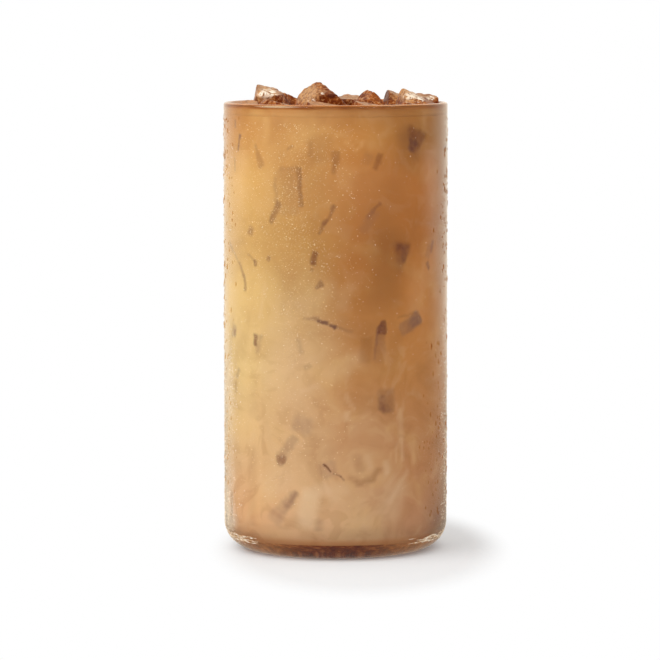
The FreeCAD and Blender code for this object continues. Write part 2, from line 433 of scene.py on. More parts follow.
SHARDS = (
    Shard(-35.9, 131.8, 5.6, 1.0, 15, 0.70, 0.8, 0.3, fade=0.1, taper=0.2),  # beside the left edge, high up
    Shard(-38.4, 137.6, 2.6, 1.1, 0, 0.40, 0.8, 0.2),
    Shard(-38.8, 124.6, 4.5, 0.9, -6, 0.30, 0.9, 0.3),
    Shard(-26.4, 127.9, 7.6, 1.9, -22, 0.34, 1.3, 0.8, side=-0.3, taper=-0.4),
    Shard(-14.4, 130.7, 2.4, 1.0, 60, 0.24, 0.9, 0.9),
    Shard(-15.6, 116.8, 15.0, 8.4, -3, 0.12, 2.0, 0.1),  # the big cube and its edges
    Shard(-19.6, 116.8, 8.5, 1.2, -3, 0.18, 1.0, 0.3),
    Shard(-14.6, 124.2, 6.5, 1.0, 90, 0.16, 1.2, 0.3),
    Shard(-11.3, 118.2, 12.5, 1.6, -4, 0.60, 0.9, 0.6, fade=0.1, side=-0.6),
    Shard(-19.7, 110.2, 7.6, 2.0, 26, 0.55, 1.0, 0.6, side=0.4, taper=0.1),
    Shard(-7.6, 130.0, 4.5, 1.6, 8, 0.22, 1.4, 0.8, side=0.4),
    Shard(-0.1, 126.2, 7.0, 2.0, 4, 0.40, 1.4, 0.9, fade=0.1, side=0.2, taper=0.2),
    Shard(13.2, 126.3, 5.6, 1.9, 22, 0.44, 1.3, 1.0, side=-0.2, taper=0.1),
    Shard(10.0, 127.2, 4.0, 3.0, 20, 0.16, 1.8, 0.4),
    Shard(27.6, 132.7, 7.2, 6.4, 20, 0.55, 2.4, 0.9, taper=0.5),  # the dark one near the top right
    Shard(26.0, 131.0, 4.2, 3.4, 20, 0.55, 1.6, 0.4, taper=0.3),
    Shard(23.6, 133.5, 7.0, 7.0, 60, 0.20, 4.0, 0.8),
    Shard(27.4, 128.0, 4.0, 3.0, 0, 0.25, 2.4, 0.6, fade=0.5, taper=0.3),
    Shard(12.0, 111.0, 6.6, 1.3, 43, 0.50, 1.0, 0.5, fade=0.6, taper=-0.4),
    Shard(10.4, 107.5, 8.0, 3.2, 32, 0.28, 2.0, 0.2, fade=0.2, side=0.3),
    Shard(-2.6, 108.3, 10.5, 1.1, 28, 0.40, 0.9, 0.6, taper=0.1),
    Shard(-3.3, 107.4, 2.2, 1.5, 30, 0.35, 0.8, 0.7),
    Shard(-1.2, 112.0, 2.0, 1.3, 30, 0.25, 0.8, 0.7),
    Shard(-29.7, 103.9, 2.8, 2.4, 20, 0.42, 1.6, 0.8),
    Shard(-29.6, 95.4, 4.4, 0.9, -58, 0.36, 0.8, 0.6, fade=-0.3),
    Shard(-27.6, 94.0, 2.1, 1.5, -10, 0.52, 0.8, 0.7),
    Shard(-22.3, 95.6, 1.8, 1.3, 20, 0.50, 0.8, 0.7),
    Shard(-6.6, 96.1, 4.3, 1.8, 4, 0.66, 1.1, 0.9, taper=0.15),
    Shard(-7.3, 92.5, 1.2, 0.9, 20, 0.35, 0.6, 0.6),
    Shard(-5.2, 87.6, 2.6, 1.8, 55, 0.64, 0.7, 0.5, side=-0.4, taper=0.4),
    Shard(-41.8, 98.3, 5.0, 1.2, -45, 0.30, 1.0, 0.2),  # a long curved edge at the left
    Shard(-38.0, 95.2, 4.0, 1.0, -40, 0.24, 0.9, 0.3),
    Shard(-34.8, 91.6, 5.6, 1.2, -32, 0.44, 0.9, 0.5, fade=-0.2),
    Shard(-32.8, 87.2, 4.6, 1.3, -9, 0.52, 0.9, 0.5, side=0.1),
    # the darkest one, on the right
    Shard(21.7, 97.2, 6.8, 4.8, 10, 0.60, 2.6, 0.9, fade=0.3, side=-0.2, taper=0.45),
    Shard(22.9, 97.0, 5.4, 2.2, 12, 0.42, 1.4, 0.3, fade=0.1, taper=0.3),
    Shard(21.0, 99.4, 2.4, 2.2, 80, 0.30, 1.4, 0.7),
    Shard(21.2, 92.6, 4.6, 2.6, 8, 0.24, 2.2, 0.6, fade=0.5, taper=0.3),
    Shard(36.0, 98.7, 4.2, 1.4, 14, 0.52, 1.0, 0.5, side=-0.3),
    Shard(34.0, 97.6, 4.6, 2.6, 20, 0.24, 1.6, 0.4),
    Shard(33.8, 92.8, 2.8, 1.3, -28, 0.50, 0.8, 0.4),
    Shard(-8.0, 77.2, 5.6, 1.0, 94, 0.45, 0.9, 0.4, fade=0.6, taper=0.3),  # the long edge across the middle
    Shard(-4.0, 76.1, 3.6, 1.1, 104, 0.88, 0.7, 0.4, side=0.1, taper=0.3),
    Shard(-1.0, 74.9, 2.6, 1.2, 112, 0.85, 0.7, 0.4, taper=0.3),
    Shard(3.0, 73.7, 5.6, 0.9, 106, 0.40, 0.9, 0.4, fade=-0.6),
    Shard(15.0, 74.4, 4.4, 2.8, 6, 0.70, 1.1, 0.8, taper=-0.5),
    Shard(14.2, 68.8, 12.0, 3.9, 3, 0.58, 1.0, 0.35, fade=0.75, side=0.5, taper=-0.2),
    Shard(12.6, 68.5, 9.0, 0.9, 8, 0.35, 0.8, 0.4, fade=0.5),
    Shard(25.4, 74.8, 9.4, 4.4, 62, 0.70, 1.4, 0.2, fade=0.5, taper=0.15),
    Shard(27.6, 75.6, 4.4, 3.0, 60, 0.40, 1.2, 0.2),
    Shard(23.5, 77.6, 6.5, 0.9, 80, 0.22, 0.9, 1.0),
    Shard(-39.6, 71.4, 4.2, 3.0, 10, 0.42, 1.6, 0.1),
    Shard(-39.2, 71.2, 1.8, 1.4, 0, 0.36, 0.8, 0.4),
    Shard(-27.6, 69.4, 4.0, 1.6, 4, 0.60, 0.9, 0.75, taper=0.1),
    Shard(-26.6, 68.2, 6.4, 2.8, 4, 0.32, 1.6, 0.2, taper=0.5),
    Shard(-37.0, 58.2, 3.4, 1.6, 28, 0.34, 1.2, 0.1),
    Shard(-11.2, 68.4, 5.0, 1.8, -20, 0.20, 1.5, 0.2),
    Shard(-8.7, 61.9, 2.4, 1.6, 60, 0.20, 1.2, 0.9),
    Shard(16.4, 50.8, 7.8, 5.6, -4, 0.34, 1.5, 0.45, fade=-0.2, taper=0.1),  # a small square cube
    Shard(14.9, 50.2, 5.0, 2.2, 2, 0.42, 1.3, 0.5, side=0.4),
    Shard(16.2, 48.6, 3.0, 2.2, 80, 0.30, 1.2, 0.5),
    Shard(-10.6, 43.6, 5.5, 6.6, 20, 0.28, 3.0),
    Shard(-14.8, 36.8, 7.5, 3.2, 34, 0.34, 2.2, 0.1),
    Shard(-17.8, 32.6, 3.4, 3.2, 6, 0.34, 1.5, 0.85),
    Shard(-17.8, 31.6, 3.4, 2.8, 4, 0.42, 1.2, 0.85, taper=0.5),
    Shard(-2.7, 30.2, 3.6, 0.55, -42, 0.85, 0.5, 0.95, taper=0.2),  # a dark V, low in the middle
    Shard(0.6, 27.7, 3.0, 0.5, -68, 0.55, 0.5, 0.8, fade=-0.3),
    Shard(2.4, 26.8, 2.0, 0.5, -50, 0.50, 0.5, 0.8, fade=0.4),
    Shard(-2.4, 29.4, 5.4, 5.2, -20, 0.22, 2.2, 0.1),
    Shard(-16.6, 17.2, 13.0, 4.0, 40, 0.52, 2.0, 0.15, fade=0.5, side=-0.3, taper=-0.45),
    Shard(-14.2, 19.6, 6.5, 1.6, 34, 0.30, 1.8, 0.6, fade=0.1, taper=-0.2),
    Shard(-5.0, 11.6, 4.4, 2.8, 10, 0.24, 2.0, 0.05),
    Shard(-42.0, 15.0, 9.0, 2.0, 4, 0.30, 1.4, 0.2),
)

# Where milk (shade above 0) or plain coffee (below 0) lies against the glass, laid out as the ice is.
PATCHES = (
    Shard(-23.0, 136.5, 9.0, 2.6, 0, 0.26, 2.2, fade=0.3),  # near the top
    Shard(2.0, 134.5, 14.0, 1.4, 110, 0.14, 2.0),
    Shard(4.6, 131.5, 5.0, 0.9, 120, 0.24, 1.2),
    Shard(7.4, 131.0, 4.0, 0.9, 40, 0.20, 1.2),
    Shard(3.6, 121.0, 8.0, 5.0, 20, 0.16, 4.0),
    Shard(-5.0, 130.5, 9.0, 8.0, 0, -0.18, 3.0),
    Shard(25.5, 129.0, 12.0, 9.0, 20, -0.24, 7.0),
    Shard(-12.0, 133.0, 16.0, 6.0, 60, 0.12, 6.0),
    Shard(-22.0, 121.0, 22.0, 6.0, 0, 0.16, 5.0),
    Shard(17.0, 112.0, 22.0, 9.0, 20, -0.14, 9.0),
    Shard(17.0, 92.0, 24.0, 12.0, 6, -0.40, 9.0),  # round the middle
    Shard(-6.0, 84.0, 14.0, 5.0, 60, 0.20, 5.0),
    Shard(-24.6, 82.0, 12.0, 1.2, 12, 0.30, 1.4, side=0.4),
    Shard(-17.0, 78.0, 14.0, 8.0, 14, 0.14, 5.0),
    Shard(-17.0, 62.0, 18.0, 12.0, 40, 0.16, 8.0),
    Shard(3.0, 84.0, 9.0, 4.0, 20, 0.16, 3.0),
    Shard(3.0, 62.0, 14.0, 5.0, 60, 0.18, 5.0),
    Shard(9.6, 67.2, 8.5, 3.6, 4, -0.34, 1.8),
    Shard(19.5, 66.0, 14.0, 4.0, 10, -0.16, 5.0),
    Shard(28.0, 84.0, 16.0, 6.0, 4, 0.12, 6.0),
    Shard(-38.3, 53.6, 4.0, 1.4, 0, -0.30, 1.2),
    Shard(-28.0, 52.0, 14.0, 5.0, 10, -0.10, 5.0),
    Shard(-8.0, 55.0, 7.0, 1.0, 70, 0.20, 1.4),
    Shard(3.6, 46.4, 3.0, 2.0, 0, 0.34, 1.8),  # curls of milk, low down
    Shard(4.4, 50.6, 6.0, 1.1, -30, 0.26, 1.4),
    Shard(8.0, 44.0, 9.0, 5.0, 50, 0.10, 4.0),
    Shard(21.5, 43.0, 10.0, 1.7, -4, 0.22, 1.9),
    Shard(22.0, 35.0, 7.5, 1.0, -4, 0.34, 1.3),
    Shard(20.0, 34.5, 7.0, 0.9, 3, 0.22, 1.3),
    Shard(16.2, 29.6, 4.6, 2.2, -10, 0.36, 1.7),
    Shard(10.6, 31.6, 5.0, 2.0, -20, 0.22, 1.6),
    Shard(7.2, 31.4, 5.5, 3.0, -14, -0.22, 1.8),
    Shard(12.6, 27.6, 5.0, 1.8, 30, -0.42, 1.7),
    Shard(8.6, 25.4, 5.0, 2.2, 75, -0.42, 1.7),
    Shard(5.6, 26.6, 3.0, 1.8, 115, -0.30, 1.5),
    Shard(20.5, 23.0, 13.0, 1.8, 38, 0.24, 1.9),
    Shard(18.5, 19.5, 13.0, 8.5, 22, 0.22, 5.0),
    Shard(1.0, 22.5, 7.0, 4.5, 60, 0.20, 2.6),
    Shard(-6.0, 22.5, 8.0, 3.6, 70, 0.34, 2.6),
    Shard(-8.6, 16.6, 12.0, 6.0, 10, 0.44, 3.4),
    Shard(-3.4, 18.2, 5.0, 3.6, 40, -0.12, 2.2),
    Shard(-17.6, 33.0, 0.9, 0.8, 0, 0.75, 0.5),
    Shard(-20.0, 25.0, 12.0, 7.0, 50, 0.22, 5.0),
    Shard(-14.5, 11.5, 8.0, 3.0, 50, -0.16, 3.0),
    Shard(-29.0, 22.0, 26.0, 3.4, 2, -0.16, 4.0),
)

HIDDEN_FROM = 50 * MM  # how far round the glass the listed ice reaches, to either side
HIDDEN_SHARDS = 64
SHARD_ROUNDING = 0.6  # how round the corners of sunk ice are, 0 to 1
SHARD_WOBBLE = 0.5  # mm, how far the outline of sunk ice wanders


def hidden_shards():
    """Sunk ice for the back and the sides, like that at the front."""
    dice = random.Random(41)
    half_way = math.pi * WALL / MM
    first = HIDDEN_FROM / MM
    shards = []
    for i in range(HIDDEN_SHARDS):
        across = first + (2 * (half_way - first)) * (i + dice.uniform(0.1, 0.9)) / HIDDEN_SHARDS
        height = 14 + 120 * ((i * 0.618 + dice.uniform(-0.06, 0.06)) % 1.0)
        slim = dice.random() < 0.6
        shards.append(
            Shard(
                across=across,
                height=height,
                long=dice.uniform(4, 12) if slim else dice.uniform(3, 8),
                wide=dice.uniform(0.9, 2.0) if slim else dice.uniform(2.4, 5.0),
                turn=dice.choice((0, 0, 90)) + dice.gauss(0, 24),
                shade=dice.uniform(0.25, 0.85),
                soft=dice.uniform(0.7, 1.8),
                fade=dice.uniform(-0.5, 0.8),
                side=dice.uniform(-0.5, 0.5),
                taper=dice.uniform(-0.3, 0.5),
                warm=dice.random(),
            )
        )
    return shards


def round_the_glass(x, y):
    """How far round the inside of the glass a place lies from the middle of the front, in mm."""
    return np.arctan2(x, -y) * WALL / MM


def smooth(value):
    """0 to 1, eased at both ends."""
    return value * value * (3 - 2 * value)


def lost(share, position):
    """How much of a piece of sunk ice is lost at a position from -1 to 1; share says towards which end."""
    return np.clip(0.5 + 0.5 * position * math.copysign(1, share), 0, 1) * abs(share)


def shard_cover(shard, across, height):
    """How dark one piece of sunk ice makes each place on the wall, 0 to 1; the places are in mm."""
    whole_turn = 2 * math.pi * WALL / MM
    aside = (across - shard.across + whole_turn / 2) % whole_turn - whole_turn / 2
    above = height - shard.height
    lean = math.radians(shard.turn)
    down = -(above * math.cos(lean) + aside * math.sin(lean))
    right = aside * math.cos(lean) - above * math.sin(lean)
    end = down / (shard.long / 2)
    half_width = shard.wide / 2 * (1 - shard.taper * np.clip(end, -1, 1))
    corner = SHARD_ROUNDING * min(shard.long, shard.wide) / 2
    over_end = np.abs(down) - shard.long / 2 + corner
    over_side = np.abs(right) - np.maximum(half_width - corner, 0)
    outside = np.hypot(np.maximum(over_end, 0), np.maximum(over_side, 0))
    distance = outside + np.minimum(np.maximum(over_end, over_side), 0) - corner
    inside = smooth(np.clip(0.5 - distance / shard.soft, 0, 1))
    aslant = np.clip(right / np.maximum(half_width, 0.3), -1, 1)
    return shard.shade * inside * (1 - lost(shard.fade, end)) * (1 - lost(shard.side, aslant))


def wobbled(across, height):
    """The places on the wall, each moved a little, so that the ice has no ruled outline."""
    moved = np.zeros((len(across), 2))
    for i, (a, h) in enumerate(zip(across, height)):
        coarse = noise.noise_vector(Vector((a * 0.35, h * 0.35, 3.0)))
        fine = noise.noise_vector(Vector((a * 1.1, h * 1.1, 9.0)))
        moved[i] = (coarse.x + 0.4 * fine.x, coarse.y + 0.4 * fine.y)
    return across + SHARD_WOBBLE * moved[:, 0], height + SHARD_WOBBLE * moved[:, 1]


# ---------------------------------------------------------------- the drink

# The drink's colour at six places across the glass (mm from its middle), each from the bottom up.
# Besides the drink's own amber and milk it holds painted light and shade: paler to the left, where the key
# lamp falls, creamy low at the far left for light that comes through the foot, darker to the right and
# darkest low at the far right, and paler low down for light that the lower part lacks.
DRINK_HEIGHTS = (0, 12, 30, 60, 85, 100, 120, 135, 141)  # mm
DRINK_COLOURS_AND_PAINTED_LIGHT = (
    (-35, "F4E6D2 F2E2CC EEDCC2 EAD4AC DEC088 D4AE70 D8AE6A CA965A BC8444".split()),
    (-31, "E4AA76 DAAA7C D8B486 DEC288 E0C080 D2AC6C DAB06A CA9452 C48C4A".split()),
    (-10, "E4B284 DEB68C DAB488 D8B488 CAA46E C69858 CA985A D4A262 CE9A5E".split()),
    (8, "D2A47A D6B086 CEA278 C28C54 B87C3E B6783C C4864A CC8E48 C0864A".split()),
    (27, "CA946E CA966E C68E5E CA8E4E CE8A44 BC7836 C47E3A B47A3A BC8040".split()),
    (34, "A4745A AA7C5E CC9A6C CC9258 BA8240 A66C30 AC7438 A8743A B07A40".split()),
)
PALE_CLOUD = "E8C480"
DARK_CLOUD = "98602A"
PALE_STREAK = "E4C498"
DARK_STREAK = "A46C34"
MILK_LOW = "E6CCA8"
MILK_HIGH = "F0C888"
PLAIN_COFFEE = "8C5826"
SUNK_ICE = ((0.0, "8A6C60"), (0.5, "704436"), (1.0, "682A18"))  # by its warmth
# painted shade on the underside, in blotches from darkest to lightest; the edge colour is painted shade where
# the side turns under, the aside colour painted light towards the sides, and the two glow colours painted
# light that soaks through
UNDERSIDE_PAINTED_SHADE = ((0.36, "5E220E"), (0.52, "8E4416"), (0.66, "C8874E"))  # blotches, dark to light
CORNER_PAINTED_SHADE = "CC8240"
UNDERSIDE_PAINTED_LIGHT = "BA8A68"
PAINTED_GLOW_MIDDLE = "3F190A"
PAINTED_GLOW_ASIDE = "6C4418"
DRINK_SECTORS = ((160, 130), (200, 110))  # (degrees, steps): finer in front, where the ice shows most
DRINK_RING = 1.15 * MM
SHARD_MARGINS = (1.2, 0.45)  # mm round sunk ice within which the drink's mesh is halved, once and again


def across_blend(tree, where, columns):
    """A colour that passes from one column to the next; columns are (place in metres, colour) in turn."""
    colour = columns[0][1]
    for (start, _), (end, following) in zip(columns, columns[1:]):
        colour = tree.mix(tree.ease(where, start, end), colour, following)
    return colour


def colour_ramp(tree, value, stops):
    """A ramp whose stops are (value, colour code)."""
    return tree.ramp(value, [(position, paint(code)) for position, code in stops])


def body_with_painted_light(tree, spot):
    """The drink's colour with painted light and shade in it: amber at the top, paler and pinker below, partly
    as painted light, and darker to the right as painted shade.
    """
    share = tree.maths("DIVIDE", spot["Z"], GLASS_HEIGHT)
    columns = []
    for across, codes in DRINK_COLOURS_AND_PAINTED_LIGHT:
        stops = [(height * MM / GLASS_HEIGHT, code) for height, code in zip(DRINK_HEIGHTS, codes)]
        columns.append((across * MM, colour_ramp(tree, share, stops)))
    return across_blend(tree, spot["X"], columns)


def clouded(tree, body, place, height):
    """body with clouds in it, paler and darker, and finer streaks of milk, which grow stronger low down."""
    cloud = tree.clouds(tree.warp(place, 20 * MM, 12 * MM), 15 * MM, detail=2.5, roughness=0.55)
    body = tree.mix(tree.ease(cloud, 0.50, 0.76, 0.0, 0.22), body, paint(PALE_CLOUD))
    body = tree.mix(tree.ease(cloud, 0.50, 0.26, 0.0, 0.20), body, paint(DARK_CLOUD))
    streaks = tree.clouds(tree.warp(tree.warp(place, 18 * MM, 14 * MM), 7 * MM, 3 * MM), 7 * MM, detail=2.0)
    low = tree.ease(height, 0.62 * GLASS_HEIGHT, 0.30 * GLASS_HEIGHT, 0.08, 0.18)
    body = tree.mix(tree.maths("MULTIPLY", tree.ease(streaks, 0.5, 0.68), low), body, paint(PALE_STREAK))
    return tree.mix(tree.maths("MULTIPLY", tree.ease(streaks, 0.5, 0.34), low), body, paint(DARK_STREAK))


def patched(tree, body, place, height):
    """body with patches of milk and of plain coffee, and with sunk ice, darker where it touches the glass."""
    creamy = tree.mix(tree.ease(height, 70 * MM, 110 * MM), paint(MILK_LOW), paint(MILK_HIGH))
    body = tree.mix(tree.attribute("milk"), body, creamy)
    body = tree.mix(tree.attribute("coffee"), body, paint(PLAIN_COFFEE))
    grain = tree.ease(tree.clouds(place, 1.6 * MM, detail=2.0), 0.2, 0.7, 0.8, 1.1)
    uneven = tree.maths("MULTIPLY", tree.attribute("ice_shade"), grain, clamp=True)
    return tree.mix(uneven, body, colour_ramp(tree, tree.attribute("ice_warmth"), SUNK_ICE))


def topped(tree, body, place, height):
    """body, but darker on the open top than on the side."""
    flat = tree.vector_maths("MULTIPLY", place, (1.0, 1.0, 0.0))
    open_share = tree.ease(tree.length(flat), WALL, INNER_RADIUS, 0.0, 0.75)
    top = tree.maths("MULTIPLY", tree.ease(height, LEVEL - 0.6 * MM, LEVEL), open_share)
    return tree.mix(top, body, paint(FILM_COLOUR))


def bottomed(tree, body, place, spot):
    """body with painted shade on its blotched underside and on the corner above it, painted light towards the
    sides, and a painted glow standing in for the light that soaks through to it.
    """
    steep = tree.vector_maths("MULTIPLY", place, (1.0, 1.0, 3.0))
    blotches = tree.clouds(tree.warp(steep, 6 * MM, 2 * MM), 2.4 * MM, detail=3.0, roughness=0.65)
    aside = tree.maths("ABSOLUTE", spot["X"])
    deep = colour_ramp(tree, blotches, UNDERSIDE_PAINTED_SHADE)
    deep = tree.mix(tree.ease(aside, 6 * MM, 24 * MM, 0.0, 0.55), deep, paint(UNDERSIDE_PAINTED_LIGHT))
    edge = tree.ease(spot["Z"], 7.6 * MM, 6.0 * MM, 0.0, 0.5)
    under = tree.ease(spot["Z"], 5.75 * MM, 5.5 * MM)
    body = tree.mix(under, tree.mix(edge, body, paint(CORNER_PAINTED_SHADE)), deep)
    # painted glow: the underside gives off light of its own, more towards the sides
    painted_soak_light = tree.mix(tree.ease(aside, 4 * MM, 26 * MM), paint(PAINTED_GLOW_MIDDLE), paint(PAINTED_GLOW_ASIDE))
    share = tree.maths("MULTIPLY", under, tree.ease(blotches, 0.30, 0.60, 0.6, 1.1))
    return body, tree.mix(share, paint("000000"), painted_soak_light)


def drink_colour_group():
    """The colour of the milky coffee, with painted light and shade in it, and the painted glow of its
    underside.
    """
    group, tree = new_group("milky_coffee_colour", {"Color": "NodeSocketColor", "Glow": "NodeSocketColor"})
    place = tree.place()
    spot = tree.parts(place)
    wavy = tree.parts(tree.warp(place, 26 * MM, 5 * MM))
    body = clouded(tree, body_with_painted_light(tree, wavy), place, wavy["Z"])
    body = patched(tree, body, place, spot["Z"])
    body = topped(tree, body, place, spot["Z"])
    body, glow = bottomed(tree, body, place, spot)
    tree.node("NodeGroupOutput", {"Color": body, "Glow": glow})
    return group


SUNK_DEPTH = 7.0 * MM
SUNK_UNDER = 0.3 * MM  # how far behind the glass the sunk ice lies


def make_sunk_ice(shards, material):
    """The cubes in the drink whose nearest sides show against the glass."""
    bm = bmesh.new()
    bmesh.ops.create_cube(bm, size=1.0)
    bmesh.ops.bevel(
        bm,
        geom=bm.edges[:],
        offset=0.16,
        offset_type="OFFSET",
        segments=2,
        profile=0.5,
        affect="EDGES",
        material=-1,
    )
    places = []
    for shard in shards:
        if shard.shade < 0.4 or not 12 < shard.height < 130:
            continue
        depth = min(SUNK_DEPTH, (shard.wide + 3) * MM)
        radius = WALL - SUNK_UNDER - depth / 2 - (shard.wide * MM) ** 2 / (8 * WALL)
        spot = Matrix.Rotation(shard.across * MM / WALL, 4, "Z") @ Matrix.Translation(
            (0, -radius, shard.height * MM)
        )
        lean = Matrix.Rotation(math.radians(shard.turn), 4, "Y")
        places.append(spot @ lean @ Matrix.Diagonal((shard.wide * MM, depth, shard.long * MM, 1.0)))
    place_piece(finish_mesh("sunk_ice", repeated(bm, places), [material]), "ice")


def drink_material(name, colour, roughness, specular):
    """The drink's finish: milky and opaque, and glossier on its open top than behind the glass."""
    material, tree = new_material(name)
    body = tree.node("ShaderNodeGroup", node_tree=colour).outputs
    ripples = tree.clouds(tree.place(), 3 * MM, detail=2.0)
    drink = tree.principled(
        {
            "Base Color": body["Color"],
            # the underside's painted glow
            "Emission Color": body["Glow"],
            "Emission Strength": 1.0,
            "Roughness": roughness,
            "IOR": 1.34,
            "Specular IOR Level": specular,
            "Normal": tree.bump(ripples, 0.15, 0.3 * MM),
        }
    )
    tree.surface(drink)
    return material


def halve_near_ice(bm, shards, margin):
    """Halves the faces of the wall within margin mm of any sunk ice, and rounds the new vertices to it."""
    verts = [v for v in bm.verts if math.hypot(v.co.x, v.co.y) > WALL - 0.2 * MM]
    spots = np.array([v.co for v in verts])
    across = round_the_glass(spots[:, 0], spots[:, 1])
    height = spots[:, 2] / MM
    near = np.zeros(len(verts), bool)
    for shard in shards:
        grown = shard._replace(
            shade=1.0,
            long=shard.long + 2 * margin,
            wide=shard.wide + 2 * margin,
            fade=0.0,
            side=0.0,
            taper=shard.taper * 0.5,
        )
        near |= shard_cover(grown, across, height) > 0.05
    chosen = {v for v, flag in zip(verts, near) if flag}
    edges = [e for e in bm.edges if e.verts[0] in chosen and e.verts[1] in chosen]
    result = bmesh.ops.subdivide_edges(bm, edges=edges, cuts=1, use_grid_fill=True)
    for item in result["geom_split"]:
        if isinstance(item, bmesh.types.BMVert):
            radius = math.hypot(item.co.x, item.co.y)
            item.co.x *= WALL / radius
            item.co.y *= WALL / radius


def drink_profile():
    """Half of the drink's section: flat below, round at the floor's corner, climbing a little at its top."""
    floor_radius = INNER_RADIUS - FLOOR_CORNER
    corner_top = FLOOR_THICKNESS + FLOOR_CORNER
    bottom = FLOOR_THICKNESS - INTO_WALL
    surface_radius = INNER_RADIUS - MENISCUS_REACH
    rise = MENISCUS_TOP - LEVEL
    curve = (MENISCUS_REACH**2 + rise**2) / (2 * rise)
    climb = math.degrees(math.asin(MENISCUS_REACH / curve))
    profile = run((0, bottom), (floor_radius, bottom), 4 * MM)
    profile += arc((floor_radius, corner_top), FLOOR_CORNER + INTO_WALL, -90, 0, 12)
    profile += run((WALL, corner_top), (WALL, MENISCUS_TOP), DRINK_RING)[1:]
    profile.append((WALL, MENISCUS_TOP))
    profile += arc((surface_radius, LEVEL + curve), curve, climb - 90, -90, 8)
    profile += run((surface_radius, LEVEL), (0, LEVEL), 1.5 * MM)[1:]
    profile.append((0, LEVEL))
    return profile


def show_sunk_things(drink, shards):
    """Gives the drink attributes for the ice, the milk and the coffee that show through the glass."""
    spots = vertex_places(drink.data)
    across, height = wobbled(round_the_glass(spots[:, 0], spots[:, 1]), spots[:, 2] / MM)
    on_wall = np.hypot(spots[:, 0], spots[:, 1]) > WALL - 0.5 * MM
    clear = np.ones(len(spots))
    warmth = np.zeros(len(spots))
    weight = np.full(len(spots), 1e-6)
    for shard in shards:
        cover = shard_cover(shard, across, height) * on_wall
        clear *= 1 - cover
        warmth += cover * shard.warm
        weight += cover
    give_attribute(drink, "ice_shade", 1 - clear)
    give_attribute(drink, "ice_warmth", warmth / weight)
    for name, sign in (("milk", 1), ("coffee", -1)):
        bare = np.ones(len(spots))
        for patch in PATCHES:
            if patch.shade * sign > 0:
                bare *= 1 - abs(shard_cover(patch, across, height)) * on_wall
        give_attribute(drink, name, 1 - bare)


def make_drink(shards, colour):
    """The drink, reaching just into the glass, its open top in a finish of its own."""
    bm = lathe(drink_profile(), DRINK_SECTORS)
    for margin in SHARD_MARGINS:
        halve_near_ice(bm, shards, margin)
    for face in bm.faces:
        middle = face.calc_center_median()
        high = LEVEL - 0.1 * MM < middle.z < MENISCUS_TOP + 0.01 * MM
        free = math.hypot(middle.x, middle.y) < INNER_RADIUS - 0.1 * MM
        face.material_index = 1 if high and free else 0
    materials = [
        drink_material("milky_coffee", colour, 0.5, 0.1),
        drink_material("milky_coffee_surface", colour, 0.08, 0.5),
    ]
    drink = finish_mesh("milky_coffee", bm, materials)
    show_sunk_things(drink, shards)
    place_piece(drink, "coffee", "coffee")


# ---------------------------------------------------------------- the ice at the top

ICE_VOXEL = 0.22 * MM
ICE_BEVEL = 0.12 * MM
ICE_SMOOTHING = 0.3
LOOKS = ("cream_and_painted_glint", "painted_light_tan", "dark_and_painted_shade")
STAIN_DARK = "6A2C0C"
STAIN_LIGHT = "96521F"
ICE_PAINTED_LIGHT = "C09464"
ICE_FLECKS = "CE9C68"
ICE_PITS = "5E2812"
ICE_DARK_AND_PAINTED_SHADE = "4E1E12"
ICE_FLAT_TOPS = "BE9060"
ICE_CREAM_AND_PAINTED_GLINT = "F4E8D4"

# How far each piece swells past its solid, in mm, to make up for its worn corners.
SWELL = {"ice_ridge": 0.5, "ice_fang": 0.45, "ice_right": 0.3, "ice_corner": 0.3, "ice_tooth": 0.3}
PLAIN_SWELL = 0.2

# Where a piece is cream, tan or dark: the middle of the spot and its reach, in mm, seen from the front. Tan
# is painted light on faces towards the key lamp, dark is stain with painted shade on faces away from it, and
# cream is cloudy ice with painted highlights.
Spot = namedtuple("Spot", "node look across height wide tall share")

ICE_SPOTS = (
    Spot("ice_left", "cream_and_painted_glint", -21.8, 146.7, 2.8, 1.3, 1.0),
    Spot("ice_left", "painted_light_tan", -22.8, 147.0, 3.4, 2.6, 0.8),
    Spot("ice_left", "dark_and_painted_shade", -24.6, 148.6, 1.2, 0.9, 0.5),
    Spot("ice_peak", "painted_light_tan", -9.0, 147.0, 3.6, 3.6, 0.9),
    Spot("ice_peak", "cream_and_painted_glint", -7.6, 144.6, 1.0, 0.7, 1.0),
    Spot("ice_peak", "cream_and_painted_glint", -4.2, 147.0, 0.6, 0.3, 0.7),
    Spot("ice_peak", "dark_and_painted_shade", -1.4, 146.2, 1.6, 0.9, 1.0),
    Spot("ice_peak", "dark_and_painted_shade", -3.0, 149.0, 1.4, 2.0, 0.35),
    Spot("ice_ridge", "dark_and_painted_shade", 1.6, 144.6, 1.6, 0.8, 0.9),
    Spot("ice_fang", "dark_and_painted_shade", 16.0, 146.0, 1.7, 2.2, 0.8),
    Spot("ice_fang", "painted_light_tan", 20.6, 146.0, 3.0, 1.6, 0.6),
    Spot("ice_right", "painted_light_tan", 23.4, 146.6, 3.4, 2.2, 0.9),
    Spot("ice_right", "cream_and_painted_glint", 23.8, 146.0, 2.2, 1.0, 0.7),
    Spot("ice_right", "cream_and_painted_glint", 26.6, 145.0, 1.4, 0.8, 0.9),
    Spot("ice_corner", "dark_and_painted_shade", 29.0, 145.0, 2.0, 1.0, 0.7),
    Spot("ice_corner", "cream_and_painted_glint", 30.6, 145.0, 1.1, 0.6, 1.0),
    Spot("ice_front_left", "dark_and_painted_shade", -13.2, 143.8, 2.0, 1.0, 0.9),
)


